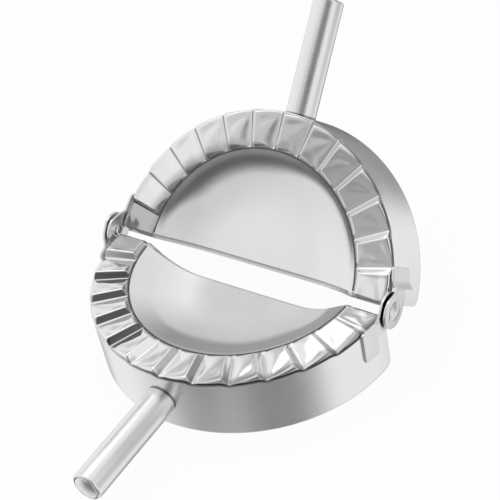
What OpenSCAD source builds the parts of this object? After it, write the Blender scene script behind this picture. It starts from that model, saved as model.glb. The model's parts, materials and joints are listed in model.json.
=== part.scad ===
// Empanada press: two hinged half-round jaws, each a pleated pressing plate on a cutter ring with a handle.
// The hinge line runs along X and the table is at z = 0. The front jaw lies flat; the back jaw stands open.

/* [Jaws] */
// Outer diameter of the cutter ring
cutter_d = 95; // [80:1:120]
// Height of the hinge line above the cutting edge
cutter_h = 20.5; // [18:0.5:26]
// Sheet thickness of the cutter ring
cutter_t = 0.7; // [0.5:0.05:1.2]
// Sheet thickness of the pressing plate
plate_t = 0.8; // [0.6:0.05:1.2]
// How far the pleated lip stays inside the cutter ring's outer face
lip_inset = 0.4; // [0:0.05:0.6]
// Distance from the hinge line to each plate's straight edge
plate_edge = 1.6; // [1.2:0.1:3]
// Distance from the hinge line to each end of the cutter ring
cutter_edge = 1.1; // [1:0.1:2.5]
// Corner radius at the foot of each ring end
cutter_corner = 0.9; // [0.3:0.1:1.5]
// Space between the two plates' rims when the press is shut
jaw_gap = 1.3; // [0.8:0.1:2]

/* [Pleats] */
// Number of pleats around each jaw
pleats = 14; // [8:1:20]
// Height of the step between two pleats
pleat_step = 2; // [1:0.1:3]
// Length of the sloping step along the middle of the rim
pleat_run = 1.7; // [1:0.1:3]
// How far the middle of a pleat bulges
pleat_crown = 0.2; // [0:0.05:0.4]
// Width of the pleated rim
rim_w = 10.7; // [6:0.1:14]

/* [Pocket] */
// Depth of the filling pocket below the hinge line
pocket_depth = 8; // [5:0.1:10]
// Slope of the pocket's wall, in degrees
pocket_slope = 30; // [25:1:60]
// Radius between the pocket's wall and its floor
pocket_fillet = 25; // [5:1:40]
// Distance from the hinge line to the strip folded down along each plate's straight edge
fold_edge = 0.3; // [0.25:0.05:1]

/* [Hinge] */
// Angle that the back jaw stands up from lying flat
open_angle = 47.6; // [0:0.1:120]
// Radius of the round ears
ear_r = 5.2; // [4.6:0.1:6]
// Sheet thickness of the ears
ear_t = 0.8; // [0.6:0.1:1.2]
// Gap between the inner ear and the cutter ring
ear_clear = 0.25; // [0.2:0.05:0.6]
// Space between the inner ear and the outer ear
ear_gap = 0.9; // [0.6:0.05:1.4]
// Side clearance of the rivet's tail and of the spacer
side_clear = 0.05; // [0.03:0.01:0.1]
// Distance from the hinge line to the far side of each ear's strap
strap_far = 12; // [10:0.5:15]
// Distance from the hinge line to the near side of each ear's strap
strap_near = 6.3; // [5.8:0.1:7]
// Depth of the straps below the hinge line
strap_depth = 11; // [8:0.5:14]
// Space between the two jaws' straps when the press is shut
strap_gap = 0.65; // [0.4:0.05:1]
// Radius of the rivet's shank
rivet_r = 1.6; // [1.2:0.1:2]
// Running clearance between the rivet and the inner ear
rivet_fit = 0.05; // [0.02:0.01:0.1]
// Radius of the rivet's domed head
rivet_head_r = 3; // [2.5:0.1:3.6]
// Height of the rivet's domed head
rivet_head_h = 1.05; // [0.6:0.05:1.5]
// Radius of the rivet's rolled tail
rivet_tail_r = 2.1; // [1.8:0.1:2.4]
// Thickness of the rivet's rolled tail
rivet_tail_h = 0.4; // [0.3:0.05:0.6]
// Clearance of the rivet's tail in the end of the cutter ring
tail_clear = 0.3; // [0.2:0.05:0.6]
// Radius of the hollow in the rivet's tail
rivet_hollow_r = 0.95; // [0.5:0.05:1.1]
// Depth of the hollow in the rivet's tail
rivet_hollow_h = 1.5; // [0.5:0.1:2]
// Outer radius of the spacer between the ears
spacer_r = 2.9; // [2.2:0.1:3.6]

/* [Handles] */
// Length of each handle beyond the cutter ring
handle_l = 35.4; // [25:0.1:60]
// Outer radius of the handle tube
handle_r = 4.65; // [4.2:0.05:5.5]
// Wall of the handle tube
handle_t = 1.4; // [1:0.1:1.6]
// Depth of the handle's axis below the hinge line
handle_drop = 10.7; // [9.5:0.1:12]
// Rounding on the open rim of the handle tube
handle_round = 0.4; // [0.2:0.05:0.6]
// Length of the end cap inside the tube
cap_l = 12; // [10:0.5:16]
// Thickness of the end cap behind its threaded bore
cap_floor = 1.6; // [1:0.1:3]
// Height of the end cap's dome beyond the tube
cap_dome = 0.7; // [0.2:0.1:1.5]
// Radial seam between the end cap and the tube
cap_seam = 0.12; // [0.05:0.01:0.3]
// Bevel around the end cap's dome
cap_bevel = 0.35; // [0.1:0.05:0.6]
// Radius of the handle screw
screw_r = 2; // [1.5:0.1:2.2]
// Space between the screw's tip and the end of the cap's bore
tip_clear = 0.5; // [0.2:0.1:2]
// Radius of the screw's head
screw_head_r = 4; // [3:0.1:4.5]
// Height of the screw's head
screw_head_h = 2.6; // [1.5:0.1:3]
// Clearance of the screw in the holes that it passes
screw_clear = 0.2; // [0.1:0.05:0.4]
// Fit of the screw in the end cap's thread
thread_fit = 0.03; // [0.01:0.01:0.1]
// Outer radius of the lock washer
washer_r = 3.8; // [3:0.1:4.2]
// Thickness of the lock washer
washer_t = 0.9; // [0.6:0.1:1.2]
// Width of the split in the lock washer
washer_split = 0.7; // [0.3:0.1:1]

/* [Hidden] */
$fn = 96;
// One overrun for every cut
over = 5;
cutter_r = cutter_d / 2;
cutter_in = cutter_r - cutter_t;
lip_r = cutter_r - lip_inset;
rim_z = -jaw_gap / 2;
// The pleats: one pitch, the angle that a step takes, and half a step's height
pitch = 180 / pleats;
step_a = pleat_run / (lip_r - rim_w / 2) * 180 / PI;
half_step = pleat_step / 2;
// The pleated surface is laid out past both sides of the rim and past both ends of the jaw
pleat_in = lip_r - rim_w - over;
pleat_out = lip_r + over;
pleat_over = atan(plate_edge / pleat_in);
// The pocket's wall meets the rim's mean level at this radius
wall_r = lip_r - rim_w;
fillet_z = -pocket_depth + pocket_fillet;
fillet_r = wall_r - (rim_z - fillet_z) / tan(pocket_slope) - pocket_fillet / sin(pocket_slope);
fillet_steps = 12;
wall_top = half_step + plate_t;
fold_steps = 40;
// The fold reaches this far towards the hinge line; it starts inside the plate, under its face
fold_reach = plate_edge - fold_edge;
fold_bite = 0.3;
fold_sink = 0.05;
// The ears and the rivets, from the cutter ring outwards
ear_in_x = cutter_r + ear_clear;
ear_mid_x = ear_in_x + ear_t + ear_gap;
ear_out_x = ear_mid_x + ear_t;
strap_out = cutter_r + ear_t;
strap_top = strap_gap / 2;
// The neck of an ear leaves the round at this angle, and its lower side falls by this share of the radius
neck_a = 60;
neck_share = 0.87;
tail_x = ear_in_x - side_clear - rivet_tail_h;
relief_r = rivet_tail_r + tail_clear;
dome_r = (rivet_head_r * rivet_head_r + rivet_head_h * rivet_head_h) / (2 * rivet_head_h);
// The handle parts, along the handle
handle_end = cutter_r + handle_l;
tube_in = handle_r - handle_t;
cap_r = tube_in - cap_seam;
cap_start = handle_end - cap_l;
cap_bore_l = cap_l - cap_floor;
cap_dome_r = (cap_r * cap_r + cap_dome * cap_dome) / (2 * cap_dome);
washer_y = sqrt(cutter_in * cutter_in - washer_r * washer_r);
head_y = washer_y - washer_t;
screw_l = handle_end - cap_floor - tip_clear - head_y;
// The cross recess in the screw's head: width and length by its radius, depth by its height
recess_w_share = 0.28;
recess_l_share = 1.1;
recess_h_share = 0.55;
recess_w = recess_w_share * screw_head_r;
recess_l = recess_l_share * screw_head_r;
recess_h = recess_h_share * screw_head_h;
// The hinge line stands off the middle of the footprint, because the back jaw is raised
reach_front = handle_end + cap_dome;
reach_back = (handle_end - handle_round) * cos(open_angle)
    + (handle_drop + handle_r - handle_round) * sin(open_angle) + handle_round;
hinge_y = (reach_front - reach_back) / 2;

// Angle and height of the pleated surface, from the right end of the jaw to the left
pleat_table = concat(
    [[-pleat_over - pitch, -half_step]],
    [for (k = [0 : pleats - 1]) each [
        [k * pitch + step_a / 2, -half_step],
        [(k + 0.5) * pitch, pleat_crown],
        [(k + 1) * pitch - step_a / 2, half_step]
    ]],
    [[180 + pleat_over + pitch, half_step]]
);

// Height of the pocket's surface at a radius
function wall_z(r) = rim_z - (wall_r - r) * tan(pocket_slope);
function pocket_z(r) = r < fillet_r ? -pocket_depth
    : r < fillet_r + pocket_fillet * sin(pocket_slope)
    ? fillet_z - sqrt(pocket_fillet * pocket_fillet - (r - fillet_r) * (r - fillet_r))
    : wall_z(r);

// Height of the plate's upper face along its straight edge
function edge_z(x) = let (r = norm([x, plate_edge]), a = atan2(plate_edge, x))
    min(pocket_z(r), rim_z + lookup(a, pleat_table));

// Points of the pocket's section, drop below its upper face
function pocket_line(drop) = concat(
    [[0, fillet_z - pocket_fillet - drop]],
    [for (i = [0 : fillet_steps]) let (a = -90 + pocket_slope * i / fillet_steps, r = pocket_fillet + drop)
        [fillet_r + r * cos(a), fillet_z + r * sin(a)]],
    [[wall_r + (wall_top - rim_z) / tan(pocket_slope) + drop / sin(pocket_slope), wall_top]]
);

function reversed(list) = [for (i = [len(list) - 1 : -1 : 0]) list[i]];

// A band under or over the pleated surface, between two heights measured from that surface
module pleated(low, high) {
    n = len(pleat_table);
    points = [for (p = pleat_table) each [
        [pleat_in * cos(p[0]), pleat_in * sin(p[0]), rim_z + p[1] + high],
        [pleat_out * cos(p[0]), pleat_out * sin(p[0]), rim_z + p[1] + high],
        [pleat_out * cos(p[0]), pleat_out * sin(p[0]), rim_z + p[1] + low],
        [pleat_in * cos(p[0]), pleat_in * sin(p[0]), rim_z + p[1] + low]
    ]];
    sides = [for (i = [0 : n - 2]) let (a = 4 * i, b = a + 4) each [
        [a, b, b + 1], [a, b + 1, a + 1],
        [a + 1, b + 1, b + 2], [a + 1, b + 2, a + 2],
        [a + 2, b + 2, b + 3], [a + 2, b + 3, a + 3],
        [a + 3, b + 3, b], [a + 3, b, a]
    ]];
    last = 4 * (n - 1);
    ends = [[0, 1, 2], [0, 2, 3], [last, last + 3, last + 2], [last, last + 2, last + 1]];
    polyhedron(points, concat(sides, ends));
}

// Everything on the far side of a plane along the hinge line
module beyond(y) {
    translate([-2 * cutter_r, y, -2 * cutter_h])
        cube([4 * cutter_r, 2 * cutter_r + handle_l, 4 * cutter_h]);
}

// The strip folded down along the plate's straight edge
module fold() {
    end_x = sqrt(cutter_in * cutter_in - plate_edge * plate_edge) - fold_sink;
    deep = plate_t * sqrt(2);
    points = [for (i = [0 : fold_steps]) let (x = end_x * (2 * i / fold_steps - 1), z = edge_z(x)) each [
        [x, plate_edge + fold_bite, z - fold_sink],
        [x, plate_edge, z - fold_sink],
        [x, fold_edge, z - fold_reach],
        [x, fold_edge, z - fold_reach - deep],
        [x, plate_edge, z - deep + fold_sink],
        [x, plate_edge + fold_bite, z - plate_t + fold_sink]
    ]];
    sides = [for (i = [0 : fold_steps - 1], j = [0 : 5])
        let (a = 6 * i + j, b = 6 * i + (j + 1) % 6, c = b + 6, d = a + 6) each [[a, c, b], [a, d, c]]];
    last = 6 * fold_steps;
    ends = [[for (j = [0 : 5]) j], [for (j = [5 : -1 : 0]) last + j]];
    polyhedron(points, concat(sides, ends));
}

// Each half is drawn as the back jaw lying open flat, with the hinge line along X at the origin
module plate() {
    color([0.84, 0.84, 0.84]) {
        intersection() {
            union() {
                difference() {
                    pleated(-plate_t, 0);
                    rotate_extrude() polygon(concat(pocket_line(0), [[0, wall_top]]));
                    difference() {
                        translate([0, 0, -cutter_h]) cylinder(r = pleat_out + over, h = 2 * cutter_h);
                        translate([0, 0, -2 * cutter_h]) cylinder(r = lip_r, h = 4 * cutter_h);
                    }
                }
                difference() {
                    rotate_extrude() polygon(concat(pocket_line(0), reversed(pocket_line(plate_t))));
                    pleated(0, over);
                }
            }
            beyond(plate_edge);
        }
        fold();
    }
}

module cutter() {
    color([0.78, 0.78, 0.79])
    difference() {
        translate([0, 0, -cutter_h]) cylinder(r = cutter_r, h = cutter_h + half_step);
        translate([0, 0, -cutter_h - over]) cylinder(r = cutter_in, h = 2 * cutter_h + over);
        pleated(-plate_t, over);
        mirror([0, 1, 0]) beyond(-cutter_edge);
        // Room for the rivets' tails
        rotate([0, 90, 0]) cylinder(r = relief_r, h = 4 * cutter_r, center = true);
        // Rounded feet of the two ends
        difference() {
            translate([-2 * cutter_r, 0, -cutter_h - over])
                cube([4 * cutter_r, cutter_edge + cutter_corner, over + cutter_corner]);
            translate([-2 * cutter_r - over, cutter_edge + cutter_corner, cutter_corner - cutter_h])
                rotate([0, 90, 0]) cylinder(r = cutter_corner, h = 4 * cutter_r + 2 * over);
        }
        translate([0, 0, -handle_drop]) rotate([-90, 0, 0])
            cylinder(r = screw_r + screw_clear, h = 2 * cutter_r);
    }
}

// Side view of an ear and its strap, drawn out along X
module ear_side() {
    rotate([0, 90, 0]) cylinder(r = ear_r, h = 2 * cutter_r);
    rotate([90, 0, 90]) linear_extrude(2 * cutter_r) polygon([
        [ear_r * cos(neck_a), ear_r * sin(neck_a)],
        [strap_near, -strap_top],
        [strap_far, -strap_top],
        [strap_far, -strap_depth],
        [strap_near, -strap_depth],
        [strap_near, -ear_r * neck_share],
        [0, -ear_r]
    ]);
}

// Plan view: flat beside the hinge, then bent in to lie on the cutter ring
module ear_plan(x, bend_y, seat_y) {
    seat_in = sqrt(cutter_r * cutter_r - seat_y * seat_y);
    seat_out = sqrt(strap_out * strap_out - seat_y * seat_y);
    translate([x, -ear_r]) square([ear_t, ear_r + bend_y]);
    polygon([[x, bend_y], [x + ear_t, bend_y], [seat_out, seat_y], [seat_in, seat_y]]);
    intersection() {
        difference() {
            circle(r = strap_out);
            circle(r = cutter_r);
        }
        translate([0, seat_y - ear_t / 2]) square([2 * cutter_r, strap_far]);
    }
}

module ear(x, bend_y, seat_y, bore_r) {
    color([0.86, 0.86, 0.86])
    difference() {
        intersection() {
            translate([0, 0, -cutter_h]) linear_extrude(2 * cutter_h) ear_plan(x, bend_y, seat_y);
            ear_side();
        }
        translate([cutter_r / 2, 0, 0]) rotate([0, 90, 0]) cylinder(r = bore_r, h = cutter_r);
    }
}

module outer_ear() {
    bend_y = ear_r + ear_t;
    ear(ear_mid_x, bend_y, bend_y + ear_mid_x - cutter_r + ear_t, rivet_r);
}

module inner_ear() {
    seat_y = strap_near + ear_t;
    mirror([1, 0, 0]) ear(ear_in_x, strap_near - 2 * ear_t, seat_y, rivet_r + rivet_fit);
}

module rivet() {
    color([0.8, 0.8, 0.82])
    rotate([0, 90, 0]) difference() {
        union() {
            translate([0, 0, tail_x]) cylinder(r = rivet_tail_r, h = rivet_tail_h);
            translate([0, 0, tail_x]) cylinder(r = rivet_r, h = ear_out_x - tail_x);
            intersection() {
                translate([0, 0, ear_out_x + rivet_head_h - dome_r]) sphere(r = dome_r);
                translate([0, 0, ear_out_x]) cylinder(r = rivet_head_r, h = 2 * rivet_head_h);
            }
        }
        translate([0, 0, tail_x - over]) cylinder(r = rivet_hollow_r, h = over + rivet_hollow_h);
    }
}

module spacer() {
    spacer_x = ear_in_x + ear_t + side_clear;
    color([0.6, 0.6, 0.62])
    rotate([0, 90, 0]) difference() {
        translate([0, 0, spacer_x]) cylinder(r = spacer_r, h = ear_mid_x - spacer_x);
        cylinder(r = rivet_r, h = 2 * cutter_r);
    }
}

// Turns a shape drawn around Z to lie along the handle's axis
module along_handle() {
    translate([0, 0, -handle_drop]) rotate([-90, 0, 0]) children();
}

module handle_tube() {
    mid_r = handle_r - handle_round;
    color([0.85, 0.85, 0.85])
    difference() {
        along_handle() rotate_extrude() {
            translate([tube_in, 0]) square([handle_t, handle_end - handle_round]);
            translate([tube_in, 0]) square([handle_t - handle_round, handle_end]);
            translate([mid_r, handle_end - handle_round]) circle(r = handle_round);
        }
        translate([0, 0, -2 * cutter_h]) cylinder(r = cutter_r, h = 4 * cutter_h);
    }
}

module end_cap() {
    color([0.8, 0.8, 0.81])
    along_handle() difference() {
        union() {
            translate([0, 0, cap_start]) cylinder(r = cap_r, h = cap_l - cap_bevel);
            intersection() {
                translate([0, 0, handle_end + cap_dome - cap_dome_r]) sphere(r = cap_dome_r);
                translate([0, 0, handle_end - 2 * cap_bevel])
                    cylinder(r1 = cap_r + cap_bevel, r2 = cap_r - cap_dome, h = 2 * cap_bevel + cap_dome);
                translate([0, 0, cap_start]) cylinder(r = cap_r, h = 2 * cap_l);
            }
        }
        translate([0, 0, cap_start - over]) cylinder(r = screw_r + thread_fit, h = over + cap_bore_l);
    }
}

module handle_screw() {
    color([0.6, 0.6, 0.62])
    along_handle() difference() {
        round_r = screw_head_h / 2;
        union() {
            translate([0, 0, head_y]) cylinder(r = screw_r, h = screw_l);
            rotate_extrude() {
                translate([0, head_y - round_r]) square([screw_head_r, round_r]);
                translate([0, head_y - screw_head_h]) square([screw_head_r - round_r, screw_head_h]);
                translate([screw_head_r - round_r, head_y - round_r]) circle(r = round_r);
            }
        }
        for (a = [0, 90]) rotate([0, 0, a])
            translate([-recess_w / 2, -recess_l / 2, head_y - screw_head_h - over])
            cube([recess_w, recess_l, over + recess_h]);
    }
}

module lock_washer() {
    color([0.55, 0.55, 0.57])
    along_handle() difference() {
        translate([0, 0, head_y]) cylinder(r = washer_r, h = washer_t);
        cylinder(r = screw_r + screw_clear, h = 2 * cutter_r);
        translate([0, -washer_split / 2, 0]) cube([2 * washer_r, washer_split, 2 * cutter_r]);
    }
}

// The front jaw is the back jaw turned half round; the back jaw stands up by the opening angle
module in_front() {
    translate([0, hinge_y, cutter_h]) rotate([0, 0, 180]) children();
}

module in_back() {
    translate([0, hinge_y, cutter_h]) rotate([open_angle, 0, 0]) children();
}

in_front() plate();  // front_plate
in_back() plate();  // back_plate
in_front() cutter();  // front_cutter
in_back() cutter();  // back_cutter
in_front() inner_ear();  // front_inner_ear
in_back() inner_ear();  // back_inner_ear
in_front() outer_ear();  // front_outer_ear
in_back() outer_ear();  // back_outer_ear
in_front() handle_tube();  // front_handle_tube
in_back() handle_tube();  // back_handle_tube
in_front() end_cap();  // front_end_cap
in_back() end_cap();  // back_end_cap
in_front() handle_screw();  // front_handle_screw
in_back() handle_screw();  // back_handle_screw
in_front() lock_washer();  // front_lock_washer
in_back() lock_washer();  // back_lock_washer
// Each rivet is fast in the outer ear: the right one in the back jaw's, the left one in the front jaw's
in_back() rivet();  // right_rivet
in_front() rivet();  // left_rivet
in_back() spacer();  // right_spacer
in_front() spacer();  // left_spacer
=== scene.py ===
"""Looks of the empanada press: two pleated steel jaws on cutter rings, hinged at two riveted ears."""

import json
from math import acos, asin, atan2, cos, degrees, hypot, pi, radians, sin, sqrt, tan

import bmesh
import bpy
from mathutils import Matrix, Vector, noise


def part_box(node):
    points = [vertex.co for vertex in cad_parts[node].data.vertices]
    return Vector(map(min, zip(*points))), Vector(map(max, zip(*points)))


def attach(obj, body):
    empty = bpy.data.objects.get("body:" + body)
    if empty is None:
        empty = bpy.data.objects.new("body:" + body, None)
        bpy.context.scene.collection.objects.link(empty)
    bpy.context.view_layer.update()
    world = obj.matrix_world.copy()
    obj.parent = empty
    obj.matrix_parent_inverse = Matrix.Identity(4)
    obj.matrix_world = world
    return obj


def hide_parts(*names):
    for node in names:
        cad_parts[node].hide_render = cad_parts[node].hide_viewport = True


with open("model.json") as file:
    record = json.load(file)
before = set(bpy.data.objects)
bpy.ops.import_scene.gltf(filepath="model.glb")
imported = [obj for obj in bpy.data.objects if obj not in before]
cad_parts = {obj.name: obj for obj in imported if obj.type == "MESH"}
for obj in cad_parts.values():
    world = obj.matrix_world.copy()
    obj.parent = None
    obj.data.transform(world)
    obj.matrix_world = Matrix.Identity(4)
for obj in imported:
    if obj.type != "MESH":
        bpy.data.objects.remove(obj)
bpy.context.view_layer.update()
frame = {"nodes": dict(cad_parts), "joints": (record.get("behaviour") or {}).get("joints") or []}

# Lengths below are in millimetres, in a jaw's own frame: the jaw lies flat on the +Y side of the hinge line,
# which runs along X through the origin. The frame gives the place of the hinge and the main sizes.
MM = 0.001
SAME_POINT = 0.0005
HINGE = frame["joints"][0]
HINGE_AT = Vector(HINGE["pos_m"])
OPEN_ANGLE = radians(-HINGE["range_deg"][0])
HALVES = {
    "front": Matrix.Translation(HINGE_AT) @ Matrix.Rotation(pi, 4, "Z") @ Matrix.Scale(MM, 4),
    "back": Matrix.Translation(HINGE_AT) @ Matrix.Rotation(OPEN_ANGLE, 4, "X") @ Matrix.Scale(MM, 4),
}
RING_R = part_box("front_cutter")[1].x / MM
RING_H = HINGE_AT.z / MM
RING_T = 0.7
RING_END_Y = 1.1
RING_CORNER = 2.2
RING_EDGE_R = 0.22
RING_SOFT = 0.1
RING_SHOULDER = 0.25
RING_INTO_LIP = 0.02
NOTCH_R = 2.4

# The pressed plate
PLEATS = 14
PLEAT_STEP = 2.0
STEP_RUN = 1.7
CREST_SOFT = 0.42
TROUGH_SOFT = 0.32
CROWN = 0.2
CROWN_SOFT = 3.0
PLATE_T = 0.8
LIP_R = RING_R - 0.4
RIM_W = 10.7
RIM_Z = -0.65
RIM_IN_R = LIP_R - RIM_W
RIM_MID_R = LIP_R - RIM_W / 2
POCKET_DEPTH = 8.0
POCKET_SLOPE = radians(30)
POCKET_FILLET = 25.0
FLOOR_R = 12.0
PLATE_END_Y = 2.0
FOLD_END_Y = 0.3
FOLD_BEND_R = 0.9
FOLD_SLOPE = radians(45)
FOLD_EDGE = PLATE_T / 4
FOLD_SWELL = 1.25
FOLD_CLIP_W = 0.8
FOLD_CLIPPED = 0.3
WALL_TOP_Z = -1.2
WALL_TOP_R = RIM_IN_R + (WALL_TOP_Z - RIM_Z) / tan(POCKET_SLOPE)
NOSE_R = 36.3
NOSE_GROWTH = 0.55
LEDGE_W = 0.35
LEDGE_FALL = 0.05
LIP_DROP = 0.8
LIP_FOLLOW = 0.35
LIP_T = 0.55
LIP_BULGE = 0.1
LIP_LEAST = 0.5
LIP_ROLL = 0.78
LIP_HEM = 0.1
WALL_SOFT = 0.5
NOSE_SOFT = 0.6
UNDER_SOFT = 1.2
PILLOW = 0.2
FAN = 0.1
FAN_WAVES = 6
FAN_PHASE = 0.4
RIPPLE = 0.09
RIPPLE_SIZE = 4.2
END_LEVEL = 0.8
PITCH = pi / PLEATS
PITCH_L = PITCH * RIM_MID_R


def put(name, half, mesh, material, slot, *nodes):
    """Makes a piece of a mesh built in a jaw's own frame, and lets it stand for CAD nodes."""
    mesh.transform(HALVES[half])
    mesh.update()
    piece = bpy.data.objects.new(name, mesh)
    bpy.context.scene.collection.objects.link(piece)
    mesh.materials.clear()
    mesh.materials.append(material)
    for polygon in mesh.polygons:
        polygon.use_smooth = polygon.loop_total <= 4
        polygon.material_index = 0
    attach(piece, half + "_half")
    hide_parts(*nodes)
    return piece


def mesh_of(name, points, faces):
    mesh = bpy.data.meshes.new(name)
    mesh.from_pydata([tuple(p) for p in points], [], faces)
    mesh.update()
    return mesh


def sharpened(mesh, limit):
    """Marks the edges that turn by more than the limit as sharp, so that smooth shading stops there."""
    form = bmesh.new()
    form.from_mesh(mesh)
    for edge in form.edges:
        edge.smooth = len(edge.link_faces) == 2 and edge.calc_face_angle(0) < limit
    form.to_mesh(mesh)
    form.free()
    return mesh


def joined(name, meshes, gap=SAME_POINT):
    """One mesh of several, with the points that meet made one and all faces pointing outwards."""
    form = bmesh.new()
    for mesh in meshes:
        form.from_mesh(mesh)
    bmesh.ops.remove_doubles(form, verts=form.verts, dist=gap)
    bmesh.ops.recalc_face_normals(form, faces=form.faces)
    mesh = bpy.data.meshes.new(name)
    form.to_mesh(mesh)
    form.free()
    return mesh


def eased(x):
    """Goes smoothly from 0 to 1 while x does."""
    x = min(1, max(0, x))
    return x * x * (3 - 2 * x)


def ramp(x, start, end):
    """Goes smoothly from 0 to 1 while x goes from start to end, which may lie below the start."""
    return eased((x - start) / (end - start))


def swell(x, start, full, fading, end):
    """Goes smoothly from 0 to 1 between start and full, and back to 0 between fading and end."""
    return ramp(x, start, full) * ramp(x, end, fading)


# The pleated rim

def bent_line(at, corners):
    """Height of a line that changes slope at corners: each is (place, change of slope, softness)."""
    total = 0
    for place, change, soft in corners:
        x = at - place
        if x >= soft:
            total += change * x
        elif x > -soft:
            total += change * (x + soft) ** 2 / (4 * soft)
    return total


def pleat_height(along, crest_soft=CREST_SOFT, trough_soft=TROUGH_SOFT):
    """Height of the pleats over the rim's mean level, at a length along the middle of the rim."""
    t = along % PITCH_L
    half_run = STEP_RUN / 2
    rise = PITCH_L / 2 - half_run
    down = -PLEAT_STEP / STEP_RUN
    up_1 = (PLEAT_STEP / 2 + CROWN) / rise
    up_2 = (PLEAT_STEP / 2 - CROWN) / rise
    corners = [
        (half_run, up_1 - down, trough_soft),
        (PITCH_L / 2, up_2 - up_1, CROWN_SOFT),
        (PITCH_L - half_run, down - up_2, crest_soft),
    ]
    return down * t + bent_line(t, corners)


def face_height(along, end, crest_soft=CREST_SOFT, trough_soft=TROUGH_SOFT):
    """Height of a pleat's face: the first one stays up to the straight edge, and the last one stays down."""
    height = pleat_height(along, crest_soft, trough_soft)
    share = along / PITCH_L
    if end == "first":
        kept = ramp(share, 0.75, 0.9)
    elif end == "last":
        kept = ramp(share, 0.25, 0.1)
    else:
        return height
    return kept * height + (1 - kept) * (END_LEVEL if end == "first" else -END_LEVEL)


def lip_foot(along):
    """Height of the lip's lower edge on the ring: it follows the pleats, but rises less than they do."""
    return RIM_Z + LIP_FOLLOW * pleat_height(along, 0.8, 0.8) - LIP_DROP


def rounded(before, corner, after, radius, steps):
    """Points of the arc that rounds a corner of an outline in the r-z plane."""
    a = (Vector(before) - Vector(corner)).normalized()
    b = (Vector(after) - Vector(corner)).normalized()
    half = acos(max(-1, min(1, a.dot(b)))) / 2
    centre = Vector(corner) + (a + b).normalized() * radius / sin(half)
    start = Vector(corner) + a * radius / tan(half) - centre
    end = Vector(corner) + b * radius / tan(half) - centre
    turn = atan2(start.x * end.y - start.y * end.x, start.dot(end))
    points = []
    for i in range(steps + 1):
        c, s = cos(turn * i / steps), sin(turn * i / steps)
        points.append((centre.x + start.x * c - start.y * s, centre.y + start.x * s + start.y * c))
    return points


def spread(start, end, count):
    """Points between two points, both left out."""
    return [
        (start[0] + (end[0] - start[0]) * i / (count + 1), start[1] + (end[1] - start[1]) * i / (count + 1))
        for i in range(1, count + 1)
    ]


FILLET_STEPS = 14
WALL_STEPS = 5
BEND_STEPS = 6
RIM_STEPS = 12
RIM_ROW = 1 + FILLET_STEPS + 1 + WALL_STEPS + 2 * (BEND_STEPS + 1) + 1


def pocket(floor, wall_r, fillet):
    """Section of the pocket from its floor through the fillet, up to where the wall goes on straight."""
    foot = wall_r + (floor - RIM_Z) / tan(POCKET_SLOPE)
    up = (foot + cos(POCKET_SLOPE), floor + sin(POCKET_SLOPE))
    return [(FLOOR_R, floor)] + rounded((FLOOR_R, floor), (foot, floor), up, fillet, FILLET_STEPS)


def fan_dent(u, v):
    """Shallow creases that spread over a pleat's face from the outer corner of its trough."""
    x, y = u * (PITCH_L - STEP_RUN), (1 - v) * (LIP_R - NOSE_R)
    away = hypot(x, y) / RIM_W
    fade = swell(u, 0, 0.25, 0.75, 1) * swell(v, 0, 0.2, 0.8, 1)
    return FAN * fade * ramp(away, 0, 0.4) * cos(FAN_WAVES * atan2(y, x) + FAN_PHASE)


def plate_rows(along, end=None):
    """One column of the plate: its upper outline from the pocket's floor to the lip, then its under one."""
    u = min(1, max(0, (along % PITCH_L - STEP_RUN / 2) / (PITCH_L - STEP_RUN)))
    lens = sin(pi * u ** 1.2) ** 2
    high = RIM_Z + face_height(along, end)
    low = RIM_Z + face_height(along, end, TROUGH_SOFT, CREST_SOFT) - PLATE_T
    foot = min(lip_foot(along), high - LIP_LEAST)
    lip = LIP_R if end else LIP_R + LIP_BULGE * lens
    wall_top = (WALL_TOP_R, WALL_TOP_Z)
    ledge = (WALL_TOP_R + LEDGE_W, WALL_TOP_Z - LEDGE_FALL)
    nose = (NOSE_R + NOSE_GROWTH * (high - RIM_Z + PLEAT_STEP / 2), high)
    base = pocket(-POCKET_DEPTH, RIM_IN_R, POCKET_FILLET)
    wall_arc = rounded(base[-1], wall_top, ledge, WALL_SOFT, BEND_STEPS)
    nose_arc = rounded(ledge, nose, (lip, high), NOSE_SOFT, BEND_STEPS)
    outer_arc = rounded(nose, (lip, high), (lip, foot), LIP_ROLL * (high - foot), BEND_STEPS)
    upper = base + spread(base[-1], wall_arc[0], WALL_STEPS) + wall_arc + [ledge] + nose_arc
    upper += spread(nose_arc[-1], outer_arc[0], RIM_STEPS) + outer_arc
    for i in range(RIM_ROW, RIM_ROW + RIM_STEPS):
        r, z = upper[i]
        v = (i - RIM_ROW + 1) / (RIM_STEPS + 1)
        upper[i] = (r, z + PILLOW * 4 * v * (1 - v) * lens * (0.6 - u) + fan_dent(u, v))
    t, shift = tan(POCKET_SLOPE), PLATE_T / sin(POCKET_SLOPE)
    base = pocket(-POCKET_DEPTH - PLATE_T, RIM_IN_R + shift - PLATE_T / t, POCKET_FILLET + PLATE_T)
    under_in = RIM_IN_R + (low - RIM_Z) / t + shift
    flange, hem = lip - LIP_T, LIP_HEM
    inner_arc = rounded(base[-1], (under_in, low), (flange, low), UNDER_SOFT, BEND_STEPS)
    under = base + spread(base[-1], inner_arc[0], WALL_STEPS) + inner_arc
    under += spread(inner_arc[-1], (flange - hem, low), RIM_STEPS + BEND_STEPS + 2)
    under += [(flange - hem, low), (flange, low - hem), (flange, (low + foot) / 2), (flange, foot + hem)]
    under += [(flange + hem, foot), (lip - 1.2 * hem, foot), (lip, foot + hem)]
    return upper, under


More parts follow.
